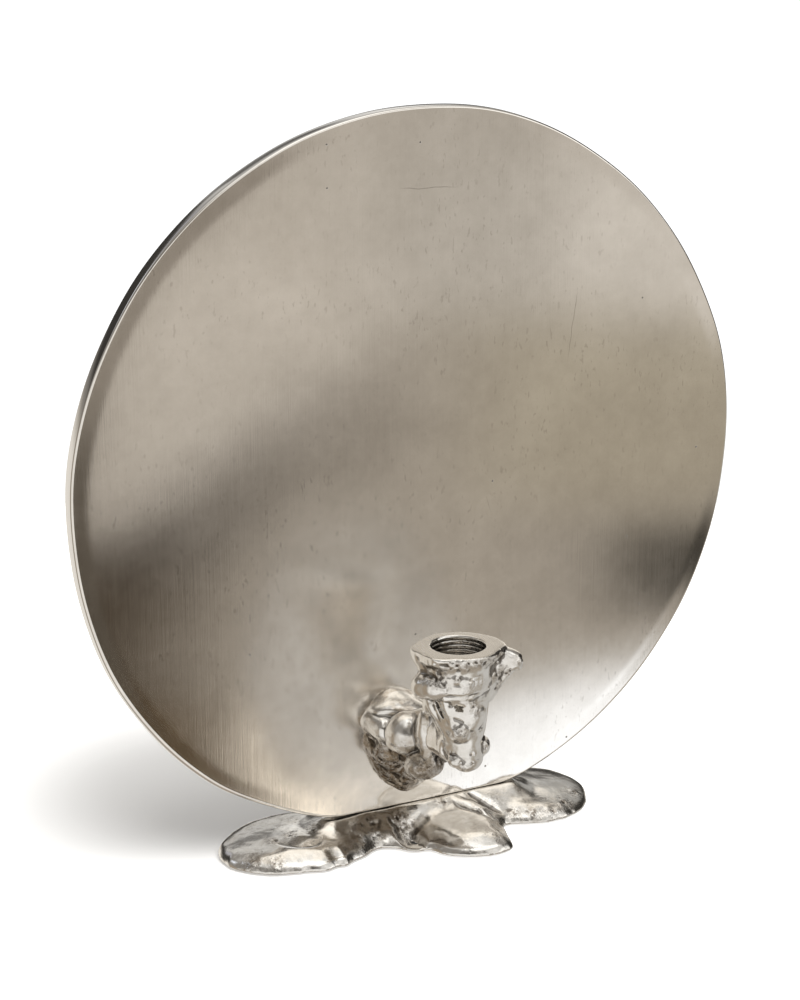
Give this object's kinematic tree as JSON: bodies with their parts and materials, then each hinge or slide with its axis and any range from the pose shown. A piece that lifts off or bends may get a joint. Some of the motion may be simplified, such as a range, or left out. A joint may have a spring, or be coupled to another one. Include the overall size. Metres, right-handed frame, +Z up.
{
  "type": "candle plate",
  "caption": "Upright round satin metal plate on a lobed polished foot, with a cast arm and cup that hold a taper candle in front of it so the plate reflects its light.",
  "frame": {"origin": "on the table, in the middle of the object's footprint box", "axes": "+Z up along the candle axis, -Y towards the front, which is the plate's candle side, +X to the right seen from the front"},
  "size_m": [0.31, 0.113, 0.3166],
  "materials": {
    "satin_nickel": "satin",
    "polished_nickel": "polished",
    "steel": "satin",
    "felt": "matte"
  },
  "bodies": {
    "root": {"reflector_plate": "satin_nickel", "foot_casting": "polished_nickel", "candle_arm": "polished_nickel", "candle_cup": "polished_nickel", "cup_stud": "steel", "arm_screw": "steel", "arm_dowel": "steel", "foot_screws": "steel", "felt_base": "felt"}
  },
  "joints": []
}
